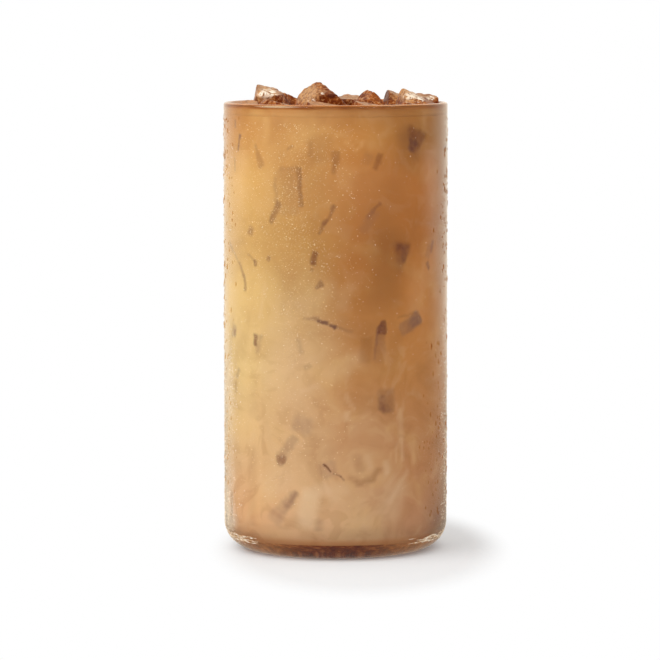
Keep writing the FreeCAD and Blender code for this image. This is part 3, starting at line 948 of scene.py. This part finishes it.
def ice_material():
    """Melting ice, stained by the coffee: reddish brown and mottled, with painted light on faces towards the
    lamp, stain and painted shade on faces away from it, and creamy places of cloudy ice with painted
    highlights.
    """
    material, tree = new_material("coffee_ice")
    place = tree.place()
    looks = {look: tree.attribute(look) for look in LOOKS}
    blotches = tree.clouds(tree.warp(place, 4 * MM, 2 * MM), 2.6 * MM, detail=3.0, roughness=0.65)
    fine = tree.clouds(place, 0.9 * MM, detail=3.0, roughness=0.65)
    stain = tree.mix(tree.ease(blotches, 0.42, 0.60), paint(STAIN_DARK), paint(STAIN_LIGHT))
    # painted light: faces towards the key lamp are a paler brown
    stain = tree.mix(tree.maths("MULTIPLY", looks["painted_light_tan"], 0.8), stain, paint(ICE_PAINTED_LIGHT))
    stain = tree.mix(tree.ease(fine, 0.53, 0.63, 0.0, 0.5), stain, paint(ICE_FLECKS))
    stain = tree.mix(tree.ease(fine, 0.48, 0.39, 0.0, 0.65), stain, paint(ICE_PITS))
    # stain and painted shade on faces away from the lamp
    stain = tree.mix(tree.maths("MULTIPLY", looks["dark_and_painted_shade"], 0.9), stain, paint(ICE_DARK_AND_PAINTED_SHADE))
    # paler where the faces point straight up
    up = tree.parts(tree.node("ShaderNodeNewGeometry").outputs["Normal"])["Z"]
    stain = tree.mix(tree.ease(up, 0.88, 0.99, 0.0, 0.5), stain, paint(ICE_FLAT_TOPS))
    core = tree.clouds(tree.warp(place, 3 * MM, 1.5 * MM), 1.6 * MM, detail=2.5)
    # creamy places: cloudy ice with painted highlights
    speckled = tree.maths("MULTIPLY", tree.ease(core, 0.42, 0.52), tree.ease(fine, 0.36, 0.46))
    cream_and_painted_glint = tree.maths("MULTIPLY", speckled, looks["cream_and_painted_glint"], clamp=True)
    relief = tree.clouds(place, 0.7 * MM, detail=3.0)
    ice = tree.principled(
        {
            "Base Color": tree.mix(cream_and_painted_glint, stain, paint(ICE_CREAM_AND_PAINTED_GLINT)),
            "Roughness": 0.5,
            "IOR": 1.31,
            "Specular IOR Level": 0.05,
            "Coat Weight": 0.35,
            "Coat Roughness": 0.15,
            "Coat IOR": 1.31,
            "Normal": tree.bump(relief, 0.5, 0.3 * MM),
        }
    )
    tree.surface(ice)
    return material


def ice_relief(place, seed):
    """How far a place on melting ice moves along its normal: slow hollows, chipped ridges and fine pits."""
    shift = Vector((seed * 1.7, seed * 0.9, seed * 2.3))
    slow = noise.noise(place / (6 * MM) + shift)
    chips = noise.voronoi(place / (3.4 * MM) + shift)[0]
    pits = noise.noise(place / (1.3 * MM) + shift)
    return (0.25 * slow - 0.34 * (0.5 - (chips[1] - chips[0])) + 0.12 * pits) * MM


def rounded_solid(node):
    """A bmesh of a solid with its edges rounded."""
    bm = bmesh.new()
    bm.from_mesh(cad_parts[node].data)
    bmesh.ops.remove_doubles(bm, verts=bm.verts, dist=1e-6)
    bmesh.ops.dissolve_limit(bm, angle_limit=math.radians(3), verts=bm.verts, edges=bm.edges)
    bmesh.ops.bevel(
        bm,
        geom=[e for e in bm.edges if e.calc_face_angle(0.0) > math.radians(12)],
        offset=ICE_BEVEL,
        offset_type="OFFSET",
        segments=2,
        profile=0.5,
        affect="EDGES",
        clamp_overlap=True,
        material=-1,
    )
    return bm


def evenly_meshed(bm, name):
    """The same shape in small even faces. The bmesh given is used up."""
    rough = finish_mesh(name, bm, [])
    remesh = rough.modifiers.new("remesh", "REMESH")
    remesh.mode = "VOXEL"
    remesh.voxel_size = ICE_VOXEL
    remesh.use_smooth_shade = True
    bpy.context.view_layer.update()
    mesh = bpy.data.meshes.new_from_object(rough.evaluated_get(bpy.context.evaluated_depsgraph_get()))
    bpy.data.objects.remove(rough)
    even = bmesh.new()
    even.from_mesh(mesh)
    bpy.data.meshes.remove(mesh)
    return even


def spot_cover(spot, places):
    """How much of a spot's look each place has, 0 to 1; the places are in mm."""
    aside = (places[:, 0] - spot.across) / spot.wide
    above = (places[:, 2] - spot.height) / spot.tall
    return spot.share * smooth(np.clip(1.5 - np.hypot(aside, above), 0, 1))


def make_ice(node, seed, material):
    """A piece of ice from its own solid: edges rounded, surface melted and pitted."""
    bm = evenly_meshed(rounded_solid(node), node + "_rough")
    directions = {"use_axis_x": True, "use_axis_y": True, "use_axis_z": True}
    bmesh.ops.smooth_vert(bm, verts=bm.verts, factor=ICE_SMOOTHING, **directions)
    bm.normal_update()
    swell = SWELL.get(node, PLAIN_SWELL) * MM
    moves = [swell + ice_relief(v.co, seed) for v in bm.verts]
    for v, move in zip(bm.verts, moves):
        v.co += v.normal * move
    piece = finish_mesh(node + "_melting", bm, [material])
    places = vertex_places(piece.data) / MM
    for look in LOOKS:
        cover = np.zeros(len(places))
        for spot in ICE_SPOTS:
            if spot.node == node and spot.look == look:
                cover = np.maximum(cover, spot_cover(spot, places))
        give_attribute(piece, look, cover)
    place_piece(piece, "ice", node)


# ---------------------------------------------------------------- bubbles and condensation

BUBBLES = 5600
TOP_BUBBLES = 900
DROPS = 1700
MIST_DROPS = 9800
STREAKS = 1500
STREAK_LINES = (-30, -26, -21)  # where the lines lie on the foot's round corner: degrees below its top
WATER_TINT = "E2BE98"


def froth_material(name, low, high, roughness):
    """An opaque pale finish, between two colours, for bubbles and fine mist."""
    material, tree = new_material(name)
    patchy = tree.ease(tree.clouds(tree.place(), 1.5 * MM), 0.35, 0.65)
    tint = tree.mix(patchy, paint(low), paint(high))
    inputs = {"Base Color": tint, "Roughness": roughness, "IOR": 1.33, "Specular IOR Level": 0.3}
    tree.surface(tree.principled(inputs))
    return material


def water_material():
    """Clear water, a little tinted by the drink behind it."""
    material, tree = new_material("condensation")
    ripple = tree.clouds(tree.place(), 0.8 * MM)
    water = tree.principled(
        {
            "Base Color": paint(WATER_TINT),
            "Roughness": 0.0,
            "IOR": 1.33,
            "Transmission Weight": 1.0,
            "Normal": tree.bump(ripple, 0.1, 0.1 * MM),
        }
    )
    tree.surface(tree.clear_to_lamps(water, (1.0, 1.0, 1.0, 1.0)))
    return material


def on_the_wall(radius, turn, height, wide, tall, thick):
    """Where a unit ball goes to lie flat on a wall: turn is round from the front, + to the right."""
    place = Matrix.Rotation(turn, 4, "Z") @ Matrix.Translation((0, -radius, height))
    return place @ Matrix.Diagonal((wide, thick, tall, 1.0))


def strewn(dice, count, share, low, high):
    """count places on the wall as (turn, height), kept in proportion to share(turn, height).

    low and high are shares of the height of the glass.
    """
    places = []
    while len(places) < count:
        turn = dice.uniform(-math.pi, math.pi)
        height = dice.uniform(low, high) * GLASS_HEIGHT
        if dice.random() < share(turn, height):
            places.append((turn, height))
    return places


def mostly_small(dice, least, most, power=2):
    """A size between least and most mm, in metres; the higher the power, the rarer the large ones."""
    return (least + (most - least) * dice.random() ** power) * MM


def ball(subdivisions):
    """A ball of radius 1."""
    bm = bmesh.new()
    bmesh.ops.create_icosphere(bm, subdivisions=subdivisions, radius=1.0)
    return bm


def dome():
    """The outer part of a ball, open behind."""
    bm = ball(2)
    everything = bm.verts[:] + bm.edges[:] + bm.faces[:]
    inner = {"plane_co": (0, -0.15, 0), "plane_no": (0, 1, 0), "clear_outer": True}
    bmesh.ops.bisect_plane(bm, geom=everything, dist=1e-4, **inner)
    return bm


def slope(value, start, end):
    """0 before start, 1 after end, in a straight line between."""
    return min(1.0, max(0.0, (value - start) / (end - start)))


def bubble_share(turn, height):
    """How thick the bubbles lie, 0 to 1: thickest in drifts high up, a little left of the front."""
    spot = Vector((turn * 4, height / (24 * MM), 0.0))
    drift = 0.6 + 0.6 * noise.noise(spot) + 0.4 * noise.noise(spot * 3)
    aside = (math.degrees(turn) + 28 + 180) % 360 - 180
    near = math.exp(-((aside / 25) ** 2)) + 0.03
    high = 0.3 + 0.7 * slope(height, 0.40 * GLASS_HEIGHT, 0.62 * GLASS_HEIGHT)
    return near * high * max(0.0, drift)


def bubbles_on_top(dice):
    """Where bubbles float on the drink, most of them near the glass."""
    reach = INNER_RADIUS - MENISCUS_REACH
    places = []
    for _ in range(TOP_BUBBLES):
        radius = reach * (1 - 0.6 * dice.random() ** 3)
        turn = dice.uniform(-math.pi, math.pi)
        size = mostly_small(dice, 0.08, 0.38, power=4)
        spot = Matrix.Translation((radius * math.sin(turn), -radius * math.cos(turn), LEVEL))
        places.append(spot @ Matrix.Diagonal((size, size, 0.5 * size, 1.0)))
    return places


def make_bubbles():
    """Fine bubbles of froth caught between the drink and the glass, and a few afloat."""
    dice = random.Random(7)
    places = []
    for turn, height in strewn(dice, BUBBLES, bubble_share, 0.12, 0.96):
        more = 0.09 * MM if dice.random() < 0.06 else 0.0
        size = mostly_small(dice, 0.06, 0.13) + more
        places.append(on_the_wall(WALL, turn, height, size, size, 0.6 * size))
    places += bubbles_on_top(dice)
    froth = froth_material("fine_bubbles", "EECE90", "FFF2D0", 0.3)
    place_piece(finish_mesh("fine_bubbles", repeated(ball(1), places), [froth]), "coffee")


def drop_share(turn, height):
    """How thick the drops lie, 0 to 1: none in front, thick at the sides and behind."""
    spot = Vector((turn * 6, height / (30 * MM), 5.0))
    patchy = 0.6 + 0.8 * noise.noise(spot)
    aside = abs(math.degrees(turn))
    low = slope(height, 0.60 * GLASS_HEIGHT, 0.50 * GLASS_HEIGHT) if turn > 0 else 0.0
    return max(0.0, patchy) * slope(aside, 58 - 14 * low, 78 - 6 * low)


def make_drops():
    """Drops of condensation on the outside of the glass."""
    dice = random.Random(23)
    places = []
    for turn, height in strewn(dice, DROPS, drop_share, 0.08, 0.97):
        size = mostly_small(dice, 0.18, 0.54)
        tall = size * dice.uniform(1.1, 2.4)
        places.append(on_the_wall(GLASS_RADIUS - 0.07 * size, turn, height, size, tall, 0.5 * size))
    place_piece(finish_mesh("condensation", repeated(dome(), places), [water_material()]), "glass")


def mist_share(turn, height):
    """How thick the fine mist lies: at the sides and behind, most of all low down."""
    patchy = 0.7 + 0.8 * noise.noise(Vector((turn * 5, height / (20 * MM), 2.0)))
    aside = abs(math.degrees(turn)) + 10 * noise.noise(Vector((turn * 9, height / (12 * MM), 7.0)))
    low = slope(height, 0.52 * GLASS_HEIGHT, 0.42 * GLASS_HEIGHT)
    lowest = slope(height, 0.16 * GLASS_HEIGHT, 0.08 * GLASS_HEIGHT)
    start = 62 - 6 * low if turn < 0 else 66
    behind = 1 - 0.8 * slope(aside, 108, 122)
    return max(0.0, patchy) * slope(aside, start, start + 20) * (0.16 + 0.40 * low + 0.44 * lowest) * behind


def make_mist():
    """Mist of the finest drops on the outside of the glass."""
    dice = random.Random(31)
    places = []
    for turn, height in strewn(dice, MIST_DROPS, mist_share, 0.02, 0.96):
        size = mostly_small(dice, 0.08, 0.21)
        foot = max(0.0, FOOT_CORNER - height)
        radius = GLASS_RADIUS - FOOT_CORNER + math.sqrt(FOOT_CORNER**2 - foot**2)
        places.append(on_the_wall(radius, turn, height, size, size * dice.uniform(1.0, 1.6), 0.6 * size))
    pale = froth_material("fine_mist", "D6C0A0", "F2E6D4", 0.4)
    place_piece(finish_mesh("fine_mist", repeated(ball(1), places), [pale]), "glass")


def make_painted_foot_light():
    """Painted light: thin pale wavy lines round the corner of the foot, at its sides, for the light that the
    thick foot gathers there.
    """
    dice = random.Random(37)
    foot_radius = GLASS_RADIUS - FOOT_CORNER
    places = []
    while len(places) < STREAKS:
        turn = dice.uniform(-math.pi, math.pi)
        aside = abs(math.degrees(turn))
        line = dice.choice(STREAK_LINES)
        rise = line + 6 * noise.noise(Vector((turn * 5, line, 8))) + dice.gauss(0, 1.2)
        streaky = 0.6 + 0.8 * noise.noise(Vector((turn * 9, line, 3)))
        if dice.random() > slope(aside, 42, 58) * streaky:
            continue
        length = dice.uniform(0.6, 2.2) * MM
        thick = dice.uniform(0.05, 0.11) * MM
        on_corner = (
            Matrix.Rotation(turn, 4, "Z")
            @ Matrix.Translation((0, -foot_radius, FOOT_CORNER))
            @ Matrix.Rotation(math.radians(-rise), 4, "X")
            @ Matrix.Translation((0, -FOOT_CORNER, 0))
        )
        places.append(on_corner @ Matrix.Diagonal((length, 0.5 * thick, thick, 1.0)))
    # painted light round the foot
    pale = froth_material("foot_painted_light", "CAA880", "F4E8D4", 0.4)
    place_piece(finish_mesh("foot_painted_light", repeated(ball(1), places), [pale]), "glass")


# ---------------------------------------------------------------- stage, light and camera

FLOOR_SIZE = 3.0
SHADE_MIDDLE = (8 * MM, -4 * MM, 0.0)  # the soft grey on the floor: its middle and how far it reaches
SHADE_REACH = (49 * MM, 100 * MM, 1.0)
FLOOR_SHADED = (0.53, 0.54, 0.555, 1.0)  # near the glass, where its shadow shows
FLOOR_PALE = (0.8, 0.8, 0.8, 1.0)  # as it lights the drink
WHITE = (1.0, 1.0, 1.0, 1.0)
AMBIENT_COLOUR = "FFFCF8"
AMBIENT = 1.05
GLOSS_COLOUR = "FFF6E8"  # the warm white that a gloss shows of the studio
LAMP_DISTANCE = 1.1
CAMERA_DISTANCE = 1.13
CAMERA_RISE = math.radians(5.37)
CAMERA_LENS = 190.6
AIM_ASIDE = -1.8 * MM
AIM_BELOW_MIDDLE = 1.65 * MM


def seen_shares(tree):
    """Two values of 0 or 1: whether a ray sees things straight or through glass, or else in a gloss.

    Both are 0 for the light that falls on things, also where it comes through the glass.
    """
    path = tree.node("ShaderNodeLightPath").outputs
    first = tree.maths("LESS_THAN", path["Diffuse Depth"], 0.5)
    through = tree.maths("MAXIMUM", path["Is Camera Ray"], path["Is Transmission Ray"])
    gloss = tree.maths("SUBTRACT", path["Is Glossy Ray"], path["Is Transmission Ray"], clamp=True)
    return tree.maths("MULTIPLY", through, first), tree.maths("MULTIPLY", gloss, first)


def reflected_brightness(tree, depth, near, far):
    """What a gloss shows of the studio: dim in front, bright behind, where the backdrop is lit."""
    return tree.ease(depth, near, far, 0.34, 1.0)


def make_world():
    """White where it is seen, and a soft even light where it falls on the drink."""
    world = bpy.data.worlds.new("studio")
    bpy.context.scene.world = world
    world.use_nodes = True
    world.node_tree.nodes.clear()
    tree = Tree(world.node_tree)

    def background(colour, strength):
        return tree.node("ShaderNodeBackground", {"Color": colour, "Strength": strength}).outputs[0]

    straight, glossy = seen_shares(tree)
    depth = tree.parts(tree.node("ShaderNodeTexCoord").outputs["Generated"])["Y"]
    gloss = background(paint(GLOSS_COLOUR), reflected_brightness(tree, depth, 0.2, 0.9))
    unseen = tree.mix_shader(glossy, background(paint(AMBIENT_COLOUR), AMBIENT), gloss)
    both = tree.mix_shader(straight, unseen, background(WHITE, 1.0))
    tree.node("ShaderNodeOutputWorld", {"Surface": both})


def make_floor():
    """A pale floor, white but for the shadow of the glass, with painted shadow under it, and a soft grey
    round its foot.
    """
    material, tree = new_material("pale_floor")

    def matt(colour):
        return tree.node("ShaderNodeBsdfDiffuse", {"Color": colour}).outputs[0]

    def shining(colour, strength):
        return tree.node("ShaderNodeEmission", {"Color": colour, "Strength": strength}).outputs[0]

    straight, glossy = seen_shares(tree)
    place = tree.place()
    gloss = shining(paint(GLOSS_COLOUR), reflected_brightness(tree, tree.parts(place)["Y"], 0.1, 0.9))
    unseen = tree.mix_shader(glossy, matt(FLOOR_PALE), gloss)
    # painted shadow: the floor's added glow fades out under the glass, so it is darker there than its shading
    # alone makes it
    glow_with_painted_shadow_under_glass = tree.ease(tree.length(place), 0.74 * GLASS_RADIUS, GLASS_RADIUS, 0.0, 0.19)
    near = tree.node("ShaderNodeAddShader", {0: matt(FLOOR_SHADED), 1: shining(WHITE, glow_with_painted_shadow_under_glass)}).outputs[0]
    centred = tree.vector_maths("SUBTRACT", place, SHADE_MIDDLE)
    far = tree.ease(tree.length(tree.vector_maths("DIVIDE", centred, SHADE_REACH)), 0.72, 1.02)
    plain = tree.mix_shader(far, near, shining(WHITE, 1.0))
    tree.surface(tree.mix_shader(straight, unseen, plain))
    bm = bmesh.new()
    bmesh.ops.create_circle(bm, cap_ends=True, segments=96, radius=FLOOR_SIZE)
    floor = finish_mesh("floor", bm, [material])


def make_lamp(name, direction, rise, wide, tall, power):
    """A softbox aimed at the glass; direction is degrees to the right of the front, rise above it."""
    light = bpy.data.lights.new(name, "AREA")
    light.shape = "RECTANGLE"
    light.size = wide
    light.size_y = tall
    light.energy = power
    lamp = bpy.data.objects.new(name, light)
    bpy.context.scene.collection.objects.link(lamp)
    turn, up = math.radians(direction), math.radians(rise)
    away = Vector((math.sin(turn) * math.cos(up), -math.cos(turn) * math.cos(up), math.sin(up)))
    middle = Vector((0, 0, GLASS_HEIGHT / 2))
    lamp.location = middle + away * LAMP_DISTANCE
    lamp.rotation_euler = away.to_track_quat("Z", "Y").to_euler()


def make_camera():
    """A long lens a little above the middle of the glass, aimed just below it."""
    camera = bpy.data.cameras.new("camera")
    camera.lens = CAMERA_LENS
    camera.sensor_width = 36.0
    camera.clip_end = 20.0
    holder = bpy.data.objects.new("camera", camera)
    bpy.context.scene.collection.objects.link(holder)
    middle = Vector((0, 0, GLASS_HEIGHT / 2))
    away = Vector((0, -math.cos(CAMERA_RISE), math.sin(CAMERA_RISE)))
    holder.location = middle + away * CAMERA_DISTANCE
    aim = middle + Vector((AIM_ASIDE, 0, -AIM_BELOW_MIDDLE))
    holder.rotation_euler = (holder.location - aim).to_track_quat("Z", "Y").to_euler()
    bpy.context.scene.camera = holder


# ---------------------------------------------------------------- everything

make_camera()
make_world()
make_floor()
make_lamp("key", -60, 38, wide=0.9, tall=0.9, power=4.0)
make_lamp("key_strip", -60, 38, wide=1.0, tall=0.09, power=2.6)
make_lamp("fill_strip", 57, 50, wide=0.8, tall=0.09, power=1.2)
bpy.context.scene.view_settings.view_transform = "Standard"

make_glass()
coffee_colour = drink_colour_group()
make_film(coffee_colour)
sunk = list(SHARDS) + hidden_shards()
make_drink(sunk, coffee_colour)
melting = ice_material()
make_sunk_ice(sunk, melting)
ice_nodes = sorted(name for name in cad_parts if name.startswith("ice_"))
for number, ice_node in enumerate(ice_nodes):
    make_ice(ice_node, number, melting)
make_bubbles()
make_drops()
make_mist()
make_painted_foot_light()
